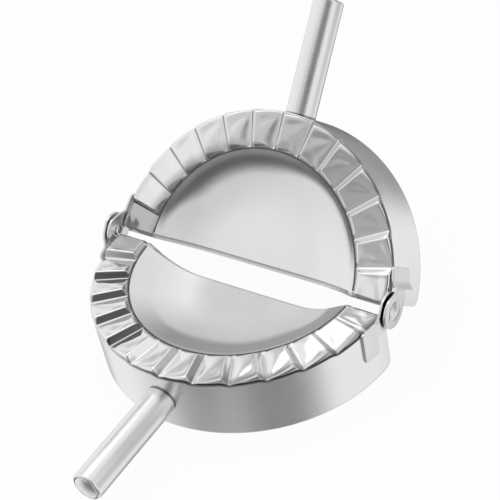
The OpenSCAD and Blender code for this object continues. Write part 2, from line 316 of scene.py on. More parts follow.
def column_places():
    """Where the columns of one pleat lie along the middle of the rim: close together at the creases."""
    half_run = STEP_RUN / 2
    places = [0, half_run - 2 * TROUGH_SOFT]
    places += [half_run + TROUGH_SOFT * x for x in (-1, -0.5, 0, 0.5, 1)]
    first, last = half_run + TROUGH_SOFT, PITCH_L - half_run - CREST_SOFT
    places += [first + (last - first) * i / 16 for i in range(1, 16)]
    places += [PITCH_L - half_run + CREST_SOFT * x for x in (-1, -0.66, -0.33, 0, 0.33, 0.66, 1)]
    return sorted(places + [PITCH_L])


def polar(r, angle, z):
    return Vector((r * cos(angle), r * sin(angle), z))


def warped(angle, first, last, r):
    """Moves a column of the first or the last pleat, so that the outermost one is on the straight edge."""
    share = 1 - asin(PLATE_END_Y / r) / PITCH
    if first:
        return PITCH - (PITCH - angle) * share
    return angle * share if last else angle


def end_places(first):
    """Places of the first or last pleat's columns: no step there, because the straight edge cuts it off."""
    near = [PITCH_L / 2 * i / 12 for i in range(13)]
    if first:
        return near[:-1] + [p for p in column_places() if p >= PITCH_L / 2]
    return [p for p in column_places() if p <= PITCH_L / 2] + [PITCH_L / 2 + p for p in near[1:]]


def plate_columns(index):
    """Columns of one pleat with its share of the pocket: lists of upper points and of under points."""
    first, last = index == 0, index == PLEATS - 1
    end = "first" if first else "last" if last else None
    turned = index * PITCH
    columns = []
    for place in end_places(first) if end else column_places():
        angle = place / RIM_MID_R
        rows = plate_rows(warped(angle, first, last, RIM_MID_R) * RIM_MID_R, end)
        columns.append([
            [polar(r, warped(angle, first, last, r) + turned, z) for r, z in side] for side in rows
        ])
    return columns


def wedge_mesh(name, columns):
    """Faces between neighbouring columns: the upper side, round the lip, and back along the under side."""
    points, faces = [], []
    for upper, under in columns:
        points += upper + under[::-1]
    loop = len(columns[0][0]) * 2
    for j in range(len(columns) - 1):
        for i in range(loop - 1):
            a = j * loop + i
            faces.append((a, a + 1, a + loop + 1, a + loop))
    return mesh_of(name, points, faces)


def repeat_tree():
    """Geometry nodes: sets a wedge out round the middle of the jaw, one pitch after another."""
    tree = bpy.data.node_groups.new("pleats_round_the_rim", "GeometryNodeTree")
    face = tree.interface
    face.new_socket("Geometry", in_out="INPUT", socket_type="NodeSocketGeometry")
    face.new_socket("Count", in_out="INPUT", socket_type="NodeSocketInt")
    face.new_socket("Pitch", in_out="INPUT", socket_type="NodeSocketFloat")
    face.new_socket("Seam", in_out="INPUT", socket_type="NodeSocketFloat")
    face.new_socket("Material", in_out="INPUT", socket_type="NodeSocketMaterial")
    face.new_socket("Geometry", in_out="OUTPUT", socket_type="NodeSocketGeometry")
    new = tree.nodes.new
    link = tree.links.new
    group_in, group_out = new("NodeGroupInput"), new("NodeGroupOutput")
    points = new("GeometryNodePoints")
    link(group_in.outputs["Count"], points.inputs["Count"])
    number = new("ShaderNodeMath")
    number.operation = "ADD"
    number.inputs[1].default_value = 1
    link(new("GeometryNodeInputIndex").outputs["Index"], number.inputs[0])
    turn = new("ShaderNodeMath")
    turn.operation = "MULTIPLY"
    link(number.outputs[0], turn.inputs[0])
    link(group_in.outputs["Pitch"], turn.inputs[1])
    rotation = new("ShaderNodeCombineXYZ")
    link(turn.outputs[0], rotation.inputs["Z"])
    instances = new("GeometryNodeInstanceOnPoints")
    link(points.outputs[0], instances.inputs["Points"])
    link(group_in.outputs["Geometry"], instances.inputs["Instance"])
    link(rotation.outputs[0], instances.inputs["Rotation"])
    real = new("GeometryNodeRealizeInstances")
    link(instances.outputs[0], real.inputs[0])
    merge = new("GeometryNodeMergeByDistance")
    link(real.outputs[0], merge.inputs["Geometry"])
    link(group_in.outputs["Seam"], merge.inputs["Distance"])
    finish = new("GeometryNodeSetMaterial")
    link(merge.outputs[0], finish.inputs["Geometry"])
    link(group_in.outputs["Material"], finish.inputs["Material"])
    link(finish.outputs[0], group_out.inputs[0])
    return tree


def repeated(mesh, tree, material):
    """The wedge set out between the first and the last pleat, as a plain mesh."""
    carrier = bpy.data.objects.new("wedge", mesh)
    bpy.context.scene.collection.objects.link(carrier)
    modifier = carrier.modifiers.new("pleats", "NODES")
    modifier.node_group = tree
    values = {"Count": PLEATS - 2, "Pitch": PITCH, "Seam": SAME_POINT, "Material": material}
    for item in tree.interface.items_tree:
        if item.in_out == "INPUT" and item.name in values:
            modifier[item.identifier] = values[item.name]
    evaluated = carrier.evaluated_get(bpy.context.evaluated_depsgraph_get())
    result = bpy.data.meshes.new_from_object(evaluated)
    carrier.modifiers.remove(modifier)
    bpy.data.objects.remove(carrier)
    return result


def fold_path(top, under):
    """Section of the folded strip: from the plate's upper face down to the hinge side, and back under it."""
    width = top.y - FOLD_END_Y
    whole = ramp(abs(top.x), RING_R - FOLD_CLIP_W, RING_R - 2 * FOLD_CLIP_W)
    reach = width * (FOLD_CLIPPED + (1 - FOLD_CLIPPED) * whole)
    bend_r = FOLD_BEND_R * reach / width
    path = []
    for i in range(1, 5):
        a = FOLD_SLOPE * i / 4
        path.append((top.y - bend_r * sin(a), top.z - bend_r * (1 - cos(a))))
    end_y = top.y - reach
    end_z = path[-1][1] - (path[-1][0] - end_y)
    edge, thick = FOLD_EDGE, min(top.z - under.z, PLATE_T) * FOLD_SWELL
    path += [(end_y + edge, end_z + edge), (end_y, end_z - edge * 0.6)]
    path += [(end_y, end_z - thick + edge), (end_y + edge, end_z - thick + edge * 0.4)]
    path += [(top.y - edge, min(under.z - 0.05, top.z - thick - edge))]
    return [Vector((top.x, y, z)) for y, z in path]


def straight_edge(first, last):
    """The folded strip along the straight edge, closed at its ends, and the floor's points beside it."""
    points, faces, ids = [], [], []
    inner = 24
    middle = []
    for i in range(1, inner):
        x = first[0][0].x * (1 - 2 * i / inner)
        middle.append([Vector((x, PLATE_END_Y, z)) for z in (-POCKET_DEPTH, -POCKET_DEPTH - PLATE_T)])
    for top, under in list(zip(*first))[::-1] + middle + list(zip(*last)):
        section = [top] + fold_path(top, under) + [under]
        ids.append(list(range(len(points), len(points) + len(section))))
        points += section
    for a, b in zip(ids, ids[1:]):
        for i in range(len(a) - 1):
            faces.append((a[i], b[i], b[i + 1], a[i + 1]))
    faces += [tuple(ids[0]), tuple(reversed(ids[-1]))]
    return mesh_of("fold", points, faces), middle


def floor_mesh(wedges, middle):
    """The pocket's flat floor and its underside, each one face up to the walls and the straight edge."""
    arc = [column for columns in wedges for column in columns]
    points, faces = [], []
    for side in (0, 1):
        ring = [column[side][0] for column in arc] + [m[side] for m in reversed(middle)]
        face = list(range(len(points), len(points) + len(ring)))
        faces.append(tuple(face if side == 0 else reversed(face)))
        points += ring
    return mesh_of("floor", points, faces)


def rippled(mesh):
    """The slight unevenness of pressed sheet, strongest in the middle of each pleat's face."""
    for vertex in mesh.vertices:
        p = vertex.co
        r = hypot(p.x, p.y)
        v = (r - RIM_IN_R + 1) / (RIM_W + 0.5)
        if 0 < v < 1:
            u = (atan2(p.y, p.x) % PITCH) / PITCH
            weight = (4 * v * (1 - v)) ** 0.7 * sin(pi * u) ** 2
            p.z += RIPPLE * weight * noise.noise(Vector((p.x, p.y, 0)) / RIPPLE_SIZE)
    return mesh


# Shade painted on each plate, darker where shade falls. Band holds the angles where the wall's painted dark
# band starts, is full, begins to fade and ends. The rest says how dark its places are painted, from 0 to 1.
# The two rows below the table hold four such angles each, for the band's wide part and for the pleats'
# painted dark faces.
PAINTED_SHADES = {
    "front": {"band": (34, 82, 181, 182), "floor": 0.23, "wall": 0.55, "early_steps": 0.53,
              "late_steps": 0.35, "inner_ends": 0.0, "outer_ends": 0.5},
    "back": {"band": (8, 30, 160, 177), "floor": 0.0, "wall": 0.8, "early_steps": 0.0,
             "late_steps": 0.85, "inner_ends": 0.5, "outer_ends": 0.0},
}
WIDE_BAND = (50, 100, 140, 170)
DARK_FACES = (25, 55, 75, 125)


def wall_shade(r, turn, shades):
    """Painted shade: the dark band round the pocket's wall, at a radius and an angle in degrees: wider at
    the handle.
    """
    along = 1 - (1 - swell(turn, *shades["band"])) * ramp(r, FLOOR_R, FLOOR_R + 8)
    wide = swell(turn, *WIDE_BAND)
    inner = WALL_TOP_R - 2.6 - 5 * wide - 20 * shades["floor"]
    band = shades["floor"] + (shades["wall"] - shades["floor"]) * ramp(r, inner, inner + 1.8 + 2.8 * wide)
    return along * band * (1 - 0.3 * wide * ramp(r, WALL_TOP_R - 2.2, WALL_TOP_R - 0.6))


def on_step(angle, upper):
    """How much a place lies on a pleat's step, from a length above the step's middle down to its foot."""
    t = angle * RIM_MID_R % PITCH_L
    if t > PITCH_L / 2:
        t -= PITCH_L
    return swell(t, -upper, 0.2 - upper, STEP_RUN / 2 - 0.1, STEP_RUN / 2 + 0.1)


def step_shade(r, angle, half):
    """Painted shade on the steps: whole ones on the jaw's early pleats, their lower halves on the later
    ones.
    """
    pleat, turn, shades = angle / PITCH, degrees(angle), PAINTED_SHADES[half]
    later = ramp(turn, 66, 74)
    early = shades["early_steps"] * (1 + 0.75 * ramp(abs(pleat - 3.5), 0.6, 1.4))
    early *= (0.5 + 0.5 * ramp(pleat, 1.4, 1.7)) * (pleat > 0.5)
    late = shades["late_steps"] * (half == "back" or ramp(r, LIP_R - 3.1, LIP_R - 1.6))
    return max(early * (1 - later) * on_step(angle, STEP_RUN / 2 - 0.1), late * later * on_step(angle, 0))


def face_shade(r, angle, shades):
    """Painted shade on the pleats' faces, darkest at their ends: inner ends on one jaw, outer ends on the
    other.
    """
    turn = degrees(angle)
    inner = shades["inner_ends"] * ramp(r, NOSE_R + 4, NOSE_R + 0.5) * ramp(turn, 95, 120)
    last = angle > pi - PITCH + STEP_RUN / 2 / RIM_MID_R
    whole = 0.8 if last else 0.36 * swell(turn, *DARK_FACES)
    outer = (shades["outer_ends"] + 0.12 * ramp(turn, 148, 158)) * ramp(turn, 100, 120)
    return max(inner, whole * shades["inner_ends"], outer * ramp(r, LIP_R - 2.6, LIP_R - 1.4))


def fold_shade(p):
    """Painted shade: the dark line along the bend of the folded strip, and the strip's darker right part."""
    bend_line = 0.55 * ramp(abs(p.y - PLATE_END_Y + FOLD_BEND_R * 0.5), 0.24, 0.12)
    strip = 0.5 * ramp(p.x, 22, 34) * (p.y < PLATE_END_Y - FOLD_BEND_R * 0.6)
    return max(bend_line, strip)


def seam_shade(angle, half):
    """How dark the painted shade in the seam between lip and ring is, at an angle round the jaw."""
    turn = degrees(angle)
    return 0.15 + 0.85 * ramp(turn, 55, 100) if half == "front" else 0.75 * ramp(turn, 100, 65)


def polished_and_shaded(mesh, half):
    """Writes where the sheet is polished (the pleats) and where shade is painted on it, darker."""
    shades = PAINTED_SHADES[half]
    polish = mesh.attributes.new("polish", "FLOAT", "POINT")
    drawn = mesh.attributes.new("drawn", "FLOAT", "POINT")
    for vertex in mesh.vertices:
        p = vertex.co
        r, angle = hypot(p.x, p.y), atan2(p.y, p.x)
        polish.data[vertex.index].value = ramp(r, WALL_TOP_R, WALL_TOP_R + 0.3)
        # Painted shadow: a dark line along the ledge at the top of the pocket's wall.
        from_ledge = abs(r - WALL_TOP_R - LEDGE_W / 2)
        ledge = ramp(from_ledge, LEDGE_W, 0.375 * LEDGE_W) * (p.y > PLATE_END_Y + 0.2)
        # Painted shade in the seam under the lip.
        above_foot = p.z - lip_foot(angle * RIM_MID_R)
        seam = seam_shade(angle, half) * ramp(r, LIP_R - 0.3, LIP_R - 0.1) * ramp(above_foot, 0.75, 0.4)
        drawn.data[vertex.index].value = max(
            wall_shade(r, degrees(angle), shades) * (r < WALL_TOP_R + 0.1),
            face_shade(r, angle, shades) * (r > WALL_TOP_R),
            step_shade(r, angle, half) * (r > NOSE_R - 0.5),
            fold_shade(p), ledge, seam,
        )
    return mesh


def ring_shaded(mesh, half):
    """Writes painted shade on the ring at its upper edge, under the lip, and makes it a little darker at its
    cutting edge.
    """
    drawn = mesh.attributes.new("drawn", "FLOAT", "POINT")
    for vertex in mesh.vertices:
        p = vertex.co
        angle = atan2(p.y, p.x)
        seam = seam_shade(angle, half) * (p.z > lip_foot(angle * RIM_MID_R) - 0.15)
        drawn.data[vertex.index].value = max(seam, 0.45 * (p.z < RING_EDGE_R + 0.1 - RING_H))
    return mesh


def plate_mesh(tree, material, half):
    wedges = [plate_columns(i) for i in range(PLEATS)]
    turned_back = Matrix.Rotation(-PITCH, 3, "Z")
    one = wedge_mesh("one_pleat", [[[turned_back @ p for p in side] for side in c] for c in wedges[1]])
    fold, middle = straight_edge(wedges[0][0], wedges[-1][-1])
    parts = [
        repeated(one, tree, material),
        wedge_mesh("first_pleat", wedges[0]),
        wedge_mesh("last_pleat", wedges[-1]),
        fold,
        floor_mesh(wedges, middle),
    ]
    return polished_and_shaded(rippled(joined("plate", parts)), half)


# The cutter ring

def ring_column(angle, true_angle):
    """Section of the ring's sheet: down the outer face, round the cutting edge and up the inner face."""
    top = lip_foot(true_angle * RIM_MID_R) + RING_INTO_LIP
    y = RING_R * sin(true_angle)
    if y < NOTCH_R:
        top = min(top, -sqrt(NOTCH_R * NOTCH_R - y * y))
    foot = -RING_H
    into = RING_END_Y + RING_CORNER - y
    if into > 0:
        foot += RING_CORNER - sqrt(max(0, RING_CORNER * RING_CORNER - into * into))
    edge_z, shoulder = foot + RING_EDGE_R, top - RING_SHOULDER
    rows = [(RING_R - RING_SOFT, top), (RING_R, top - RING_SOFT)]
    rows += [(RING_R, shoulder + (edge_z - shoulder) * i / 8) for i in range(8)]
    rows += [(RING_R, edge_z + 0.3)]
    for i in range(7):
        a = pi * i / 6
        rows.append((RING_R - RING_T / 2 + RING_T / 2 * cos(a), foot + RING_EDGE_R * (1 - sin(a))))
    rows += [(RING_R - RING_T, edge_z + (top - edge_z) * i / 8) for i in range(1, 9)]
    return [polar(r, angle, z) for r, z in rows]


def strip_mesh(name, columns, first_end=False, last_end=False):
    points = [p for column in columns for p in column]
    rows = len(columns[0])
    faces = []
    for j in range(len(columns) - 1):
        for i in range(rows):
            a, b = j * rows + i, j * rows + (i + 1) % rows
            faces.append((a, b, b + rows, a + rows))
    if first_end:
        faces.append(tuple(range(rows)))
    if last_end:
        faces.append(tuple(range(len(points) - rows, len(points))))
    return mesh_of(name, points, faces)


def ring_mesh(tree, material, half):
    places = [p / RIM_MID_R for p in column_places()]
    one = strip_mesh("one_pleat_of_ring", [ring_column(a, a + PITCH) for a in places])
    corner = [asin((RING_END_Y + RING_CORNER * (1 - cos(pi / 2 * i / 6))) / RING_R) for i in range(7)]
    near_end = corner + [asin(NOTCH_R / RING_R)]
    clear = near_end[-1] + 0.001
    first = near_end + [a for a in places if a > clear]
    last = [a + pi - PITCH for a in places if a < PITCH - clear] + [pi - a for a in reversed(near_end)]
    parts = [
        repeated(one, tree, material),
        strip_mesh("first_of_ring", [ring_column(a, a) for a in first], first_end=True),
        strip_mesh("last_of_ring", [ring_column(a, a) for a in last], last_end=True),
    ]
    return ring_shaded(sharpened(joined("ring", parts, 0.002), radians(50)), half)


# The ears, rivets, handles and caps

def lathe_mesh(name, profile, turn, steps=64, shape=None):
    """Turns a profile of (place along, radius) round an axis; radius zero closes it at a pole."""
    rings, points, faces = [], [], []
    for along, radius in profile:
        if radius <= 0:
            rings.append([len(points)] * steps)
            points.append(Vector((0, 0, along)))
            continue
        rings.append(list(range(len(points), len(points) + steps)))
        for i in range(steps):
            a = 2 * pi * i / steps
            x, y = radius * cos(a), radius * sin(a)
            points.append(Vector((x, y, shape(x, along) if shape else along)))
    for low, high in zip(rings, rings[1:]):
        for i in range(steps):
            j = (i + 1) % steps
            face = []
            for corner in (low[i], low[j], high[j], high[i]):
                if corner not in face:
                    face.append(corner)
            if len(face) > 2:
                faces.append(tuple(face))
    mesh = joined(name, [mesh_of(name, [turn @ p for p in points], faces)])
    return sharpened(mesh, radians(40))


def corner_arc(centre, radius, start, stop, steps=6):
    """Points of an arc in a profile, angles in degrees from the along axis."""
    angles = [radians(start + (stop - start) * i / steps) for i in range(steps + 1)]
    return [(centre[0] + radius * cos(a), centre[1] + radius * sin(a)) for a in angles]


ALONG_X = Matrix.Rotation(pi / 2, 4, "Y")
TUBE_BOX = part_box("front_handle_tube")
HANDLE_DROP = RING_H - (TUBE_BOX[0].z + TUBE_BOX[1].z) / 2 / MM
HANDLE_R = (TUBE_BOX[1].z - TUBE_BOX[0].z) / 2 / MM
HANDLE_END = (HINGE_AT.y - TUBE_BOX[0].y) / MM
HANDLE_T = 1.4
FOOT_LINE = 0.3
MOUTH_T = 0.7
MOUTH_DEPTH = 1.2
CAP_R = HANDLE_R - HANDLE_T - 0.12
CAP_L = 12
CAP_DOME = 0.7
ALONG_HANDLE = Matrix.Translation((0, 0, -HANDLE_DROP)) @ Matrix.Rotation(-pi / 2, 4, "X")


def tube_mesh():
    """The handle's tube: its foot follows the ring's face, and its mouth is rounded and flared inside."""
    rim, inner, mouth, near_foot = 0.65, HANDLE_R - HANDLE_T, HANDLE_R - MOUTH_T, 1
    profile = [(0, inner), (0, HANDLE_R), (FOOT_LINE, HANDLE_R), (FOOT_LINE + 0.3, HANDLE_R)]
    profile += [(HANDLE_END * i / 6, HANDLE_R) for i in range(4, 6)]
    profile += corner_arc((HANDLE_END - rim, HANDLE_R - rim), rim, 90, 0)
    profile += [(HANDLE_END - 0.1, mouth), (HANDLE_END - MOUTH_DEPTH, mouth)]
    profile += [(HANDLE_END - MOUTH_DEPTH, inner), (HANDLE_END - CAP_L - 2, inner), (0, inner)]

    def foot(x, along):
        return sqrt(RING_R * RING_R - x * x) + along if along < near_foot else along

    mesh = lathe_mesh("tube", profile, ALONG_HANDLE, 72, foot)
    # Painted shade: a dark line round the tube's foot, where it meets the ring.
    drawn = mesh.attributes.new("drawn", "FLOAT", "POINT")
    for vertex in mesh.vertices:
        p = vertex.co
        drawn.data[vertex.index].value = hypot(p.x, p.y) < RING_R + FOOT_LINE + 0.1
    return mesh


def cap_mesh():
    """The end cap: a plug with a domed head that lies in the tube's flared mouth."""
    head_r = HANDLE_R - MOUTH_T - 0.25
    dome_r = (head_r * head_r + CAP_DOME * CAP_DOME) / (2 * CAP_DOME)
    centre = HANDLE_END + CAP_DOME - dome_r
    edge_r = head_r - 0.3
    seat = HANDLE_END - MOUTH_DEPTH + 0.02
    profile = [(HANDLE_END - CAP_L, 0), (HANDLE_END - CAP_L, CAP_R), (seat, CAP_R), (seat, head_r)]
    profile += [(HANDLE_END - 0.15, head_r), (HANDLE_END + 0.02, head_r - 0.08)]
    for i in range(9):
        r = edge_r * (1 - i / 8)
        profile.append((centre + sqrt(dome_r * dome_r - r * r), r))
    return lathe_mesh("cap", profile, ALONG_HANDLE)


EAR_IN_X = RING_R + 0.25
EAR_T = 0.8
EAR_OUT_X = EAR_IN_X + EAR_T + 0.9
EAR_R = 5.2
STRAP_NEAR, STRAP_FAR, STRAP_TOP, STRAP_FOOT = 6.3, 12.0, -0.325, -11.0
STRAP_CORNER = 0.7
NECK_Z = -0.87 * EAR_R - 0.1
NECK_CUT = 0.5
OUTER_BEND = (EAR_R + EAR_T - 1.2, EAR_R + EAR_T + 3.2)
INNER_BEND = (STRAP_NEAR - 2 * EAR_T, STRAP_NEAR + EAR_T)
SHEET_SOFT = 0.1
BEND_CUT = 0.3
RIVET_R = 1.6
BORE_PLAY = 0.05


def ear_outline():
    """Side view of an ear and its strap as (y, z) points: round head, neck, strap with rounded corners."""
    corner = STRAP_CORNER
    points = [(EAR_R * cos(radians(a)), EAR_R * sin(radians(a))) for a in range(60, 271, 5)]
    points += [(STRAP_NEAR - NECK_CUT, NECK_Z), (STRAP_NEAR, NECK_Z - NECK_CUT)]
    corners = (
        (STRAP_NEAR + corner, STRAP_FOOT + corner, 180),
        (STRAP_FAR - corner, STRAP_FOOT + corner, 270),
        (STRAP_FAR - corner, STRAP_TOP - corner, 0),
    )
    for y, z, start in corners:
        for a in range(start, start + 91, 15):
            points.append((y + corner * cos(radians(a)), z + corner * sin(radians(a))))
    return points + [(STRAP_NEAR, STRAP_TOP)]


def ear_mesh(name, head_x, bend_y, seat_y, bore_r):
    """Cuts the ear from sheet, with softened edges, and bends it in to lie on the ring."""
    curve = bpy.data.curves.new(name, "CURVE")
    curve.dimensions = "2D"
    curve.fill_mode = "BOTH"
    curve.extrude = EAR_T / 2 - SHEET_SOFT
    curve.bevel_depth = SHEET_SOFT
    curve.bevel_resolution = 2
    curve.offset = -SHEET_SOFT
    hole = [(bore_r * cos(2 * pi * i / 40), -bore_r * sin(2 * pi * i / 40)) for i in range(40)]
    for outline_points in (ear_outline(), hole):
        spline = curve.splines.new("POLY")
        spline.points.add(len(outline_points) - 1)
        spline.use_cyclic_u = True
        for point, (y, z) in zip(spline.points, outline_points):
            point.co = (y, z, 0, 1)
    carrier = bpy.data.objects.new(name, curve)
    bpy.context.scene.collection.objects.link(carrier)
    evaluated = carrier.evaluated_get(bpy.context.evaluated_depsgraph_get())
    flat = bpy.data.meshes.new_from_object(evaluated)
    bpy.data.objects.remove(carrier)
    form = bmesh.new()
    form.from_mesh(flat)
    bmesh.ops.remove_doubles(form, verts=form.verts, dist=SAME_POINT)
    cut = bend_y - 2 * BEND_CUT
    while cut < STRAP_FAR:
        every = form.verts[:] + form.edges[:] + form.faces[:]
        bmesh.ops.bisect_plane(form, geom=every, plane_co=(cut, 0, 0), plane_no=(1, 0, 0))
        cut += BEND_CUT
    for vertex in form.verts:
        y, z, side = vertex.co
        vertex.co = (head_x + EAR_T / 2 + side + bend(y, head_x, bend_y, seat_y), y, z)
    bmesh.ops.recalc_face_normals(form, faces=form.faces)
    mesh = bpy.data.meshes.new(name)
    form.to_mesh(mesh)
    form.free()
    return sharpened(mesh, radians(40))


def bend(y, head_x, bend_y, seat_y):
    """How far the sheet lies in from the ear's own plane, at a distance from the hinge line."""
    def seat(at):
        return sqrt(RING_R * RING_R - at * at) - head_x
    if y >= seat_y:
        return seat(y)
    return seat(seat_y) * eased((y - bend_y) / (seat_y - bend_y))


def gap_shaded(mesh, shaded):
    """Writes painted shade on a shaded inner ear's head, on its face in the gap between the two ears."""
    drawn = mesh.attributes.new("drawn", "FLOAT", "POINT")
    for vertex in mesh.vertices:
        p = vertex.co
        in_gap = abs(p.x + EAR_IN_X + EAR_T) < 0.05 and hypot(p.y, p.z) < EAR_R + 0.1
        drawn.data[vertex.index].value = 1 if shaded and in_gap else 0
    return mesh


def rivet_mesh():
    """Domed head on the outer ear, shank, and a hollow rolled tail on the inner ear."""
    out_x = EAR_OUT_X + EAR_T
    head_r, head_h = 3.0, 1.05
    dome_r = (head_r * head_r + head_h * head_h) / (2 * head_h)
    centre = out_x + head_h - dome_r
    tail_x, tail_r, tail_h = EAR_IN_X - 0.45, 1.95, 0.4
    hollow_r, hollow_h, roll = 1.1, 1.5, 0.2
    profile = [(tail_x + hollow_h, 0), (tail_x + hollow_h, hollow_r * 0.8), (tail_x + roll, hollow_r)]
    profile += corner_arc((tail_x + roll, hollow_r + roll), roll, 270, 180, 4)
    profile += corner_arc((tail_x + roll, tail_r - roll), roll, 180, 90, 4)
    profile += [(tail_x + tail_h, tail_r), (tail_x + tail_h, RIVET_R), (out_x, RIVET_R)]
    profile += [(out_x, head_r - 0.3), (out_x + 0.12, head_r - 0.02)]
    for i in range(1, 12):
        r = (head_r - 0.02) * cos(pi / 2 * i / 12)
        profile.append((centre + sqrt(dome_r * dome_r - r * r), r))
    profile.append((out_x + head_h, 0))
    return lathe_mesh("rivet", profile, ALONG_X)


# Finishes

def steel(name, tone, rough, grain=(1, 1, 1)):
    """Stainless steel: cloudy tone and roughness, and fine grain that is stretched out along one direction.
    """
    material = bpy.data.materials.new(name)
    material.use_nodes = True
    tree = material.node_tree
    new, link = tree.nodes.new, tree.links.new
    shader = tree.nodes["Principled BSDF"]
    shader.inputs["Metallic"].default_value = 1
    place = new("ShaderNodeTexCoord")
    stretch = new("ShaderNodeMapping")
    stretch.inputs["Scale"].default_value = grain
    link(place.outputs["Object"], stretch.inputs["Vector"])
    fine = new("ShaderNodeTexNoise")
    fine.inputs["Scale"].default_value = 900
    fine.inputs["Detail"].default_value = 4
    link(stretch.outputs[0], fine.inputs["Vector"])
    cloud = new("ShaderNodeTexNoise")
    cloud.inputs["Scale"].default_value = 70
    cloud.inputs["Detail"].default_value = 5
    link(place.outputs["Object"], cloud.inputs["Vector"])
    tint = new("ShaderNodeMapRange")
    tint.inputs["To Min"].default_value = tone * 0.96
    tint.inputs["To Max"].default_value = tone * 1.03
    link(cloud.outputs["Fac"], tint.inputs["Value"])
    colour = new("ShaderNodeCombineColor")
    for channel in ("Red", "Green", "Blue"):
        link(tint.outputs[0], colour.inputs[channel])
    link(colour.outputs[0], shader.inputs["Base Color"])
    mixed = new("ShaderNodeMath")
    mixed.operation = "MULTIPLY_ADD"
    link(fine.outputs["Fac"], mixed.inputs[0])
    mixed.inputs[1].default_value = 0.5
    link(cloud.outputs["Fac"], mixed.inputs[2])
    matt = new("ShaderNodeMapRange")
    matt.inputs["From Min"].default_value = 0.4
    matt.inputs["From Max"].default_value = 1.1
    matt.inputs["To Min"].default_value = rough * 0.75
    matt.inputs["To Max"].default_value = rough * 1.3
    link(mixed.outputs[0], matt.inputs["Value"])
    link(matt.outputs[0], shader.inputs["Roughness"])
    bump = new("ShaderNodeBump")
    bump.inputs["Strength"].default_value = 0.05
    bump.inputs["Distance"].default_value = 0.0002
    link(fine.outputs["Fac"], bump.inputs["Height"])
    link(bump.outputs[0], shader.inputs["Normal"])
    return material


def read_attribute(tree, name):
    node = tree.nodes.new("ShaderNodeAttribute")
    node.attribute_name = name
    return node.outputs["Fac"]


def scale_tone(tree, factor, at_zero, at_one):
    """Multiplies a steel's tone by a number that follows a factor, given for the factor's ends."""
    new, link = tree.nodes.new, tree.links.new
    shader = tree.nodes["Principled BSDF"]
    tone = new("ShaderNodeMapRange")
    tone.inputs["To Min"].default_value = at_zero
    tone.inputs["To Max"].default_value = at_one
    link(factor, tone.inputs["Value"])
    tinted = new("ShaderNodeVectorMath")
    tinted.operation = "SCALE"
    link(shader.inputs["Base Color"].links[0].from_socket, tinted.inputs[0])
    link(tone.outputs[0], tinted.inputs["Scale"])
    link(tinted.outputs[0], shader.inputs["Base Color"])


def polished(material, rough, satin):
    """Gives the pleats a polish of their own, and leaves the sheet elsewhere satin and lighter."""
    tree = material.node_tree
    shader = tree.nodes["Principled BSDF"]
    polish = read_attribute(tree, "polish")
    mixed = tree.nodes.new("ShaderNodeMix")
    tree.links.new(polish, mixed.inputs["Factor"])
    tree.links.new(shader.inputs["Roughness"].links[0].from_socket, mixed.inputs["A"])
    mixed.inputs["B"].default_value = rough
    tree.links.new(mixed.outputs["Result"], shader.inputs["Roughness"])
    scale_tone(tree, polish, satin, 1)
    return material


def darkened(material, darkest):
    """Paints shade: darkens a steel where its piece's drawn attribute says so."""
    scale_tone(material.node_tree, read_attribute(material.node_tree, "drawn"), 1, darkest)
    return material


# The studio

CAMERA_AZ, CAMERA_EL, CAMERA_ROLL = radians(41.03), radians(39.94), radians(-12.61)
CAMERA_AWAY = 0.4095
FOCAL_PX, FRAME_PX = 1379.4, 500
HINGE_PX = (245.1, 267.1)


def towards(az, el):
    return Vector((sin(az) * cos(el), -cos(az) * cos(el), sin(el)))


def photo_camera():
    camera = bpy.data.cameras.new("camera")
    camera.sensor_width = 36
    camera.lens = FOCAL_PX / FRAME_PX * camera.sensor_width
    camera.shift_x = (FRAME_PX / 2 - HINGE_PX[0]) / FRAME_PX
    camera.shift_y = (HINGE_PX[1] - FRAME_PX / 2) / FRAME_PX
    camera.clip_start = 0.01
    holder = bpy.data.objects.new("camera", camera)
    bpy.context.scene.collection.objects.link(holder)
    back = towards(CAMERA_AZ, CAMERA_EL)
    right = Vector((cos(CAMERA_AZ), sin(CAMERA_AZ), 0))
    up = back.cross(right)
    c, s = cos(CAMERA_ROLL), sin(CAMERA_ROLL)
    right, up = right * c + up * s, up * c - right * s
    turn = Matrix((right, up, back)).transposed().to_4x4()
    holder.matrix_world = Matrix.Translation(HINGE_AT + back * CAMERA_AWAY) @ turn
    bpy.context.scene.camera = holder


# Dark parts of the room: direction, angles where the dark is full and where it ends, and how dark it is
ROOM_LIGHT = 0.98
ROOM_DARKS = [
    ((0.52, -0.53, 0.67), 15, 31, 0.8),
    ((-0.05, -0.72, 0.69), 8, 22, 0.25),
    ((-0.12, -0.93, 0.33), 10, 24, 0.5),
    ((0.42, -0.90, -0.02), 12, 30, 0.4),
    ((0.52, -0.56, -0.64), 7, 34, 0.72),
    ((-0.32, -0.66, -0.68), 10, 34, 0.22),
    ((0.78, 0.58, 0.0), 12, 34, 0.42),
    ((0.0, 0.58, -0.82), 10, 28, 0.6),
    ((0.56, 0.58, 0.59), 8, 24, 0.4),
    ((-0.5, 0.58, -0.64), 12, 30, 0.6),
    ((0.42, 0.86, 0.3), 10, 30, 0.5),
    ((-0.17, -0.90, -0.40), 11, 35, 0.76),
    ((-0.3, 0.91, -0.28), 16, 31, 0.66),
    ((-0.5, 0.58, 0.64), 10, 28, 0.5),
    ((-0.55, -0.66, 0.52), 8, 35, 0.06),
]


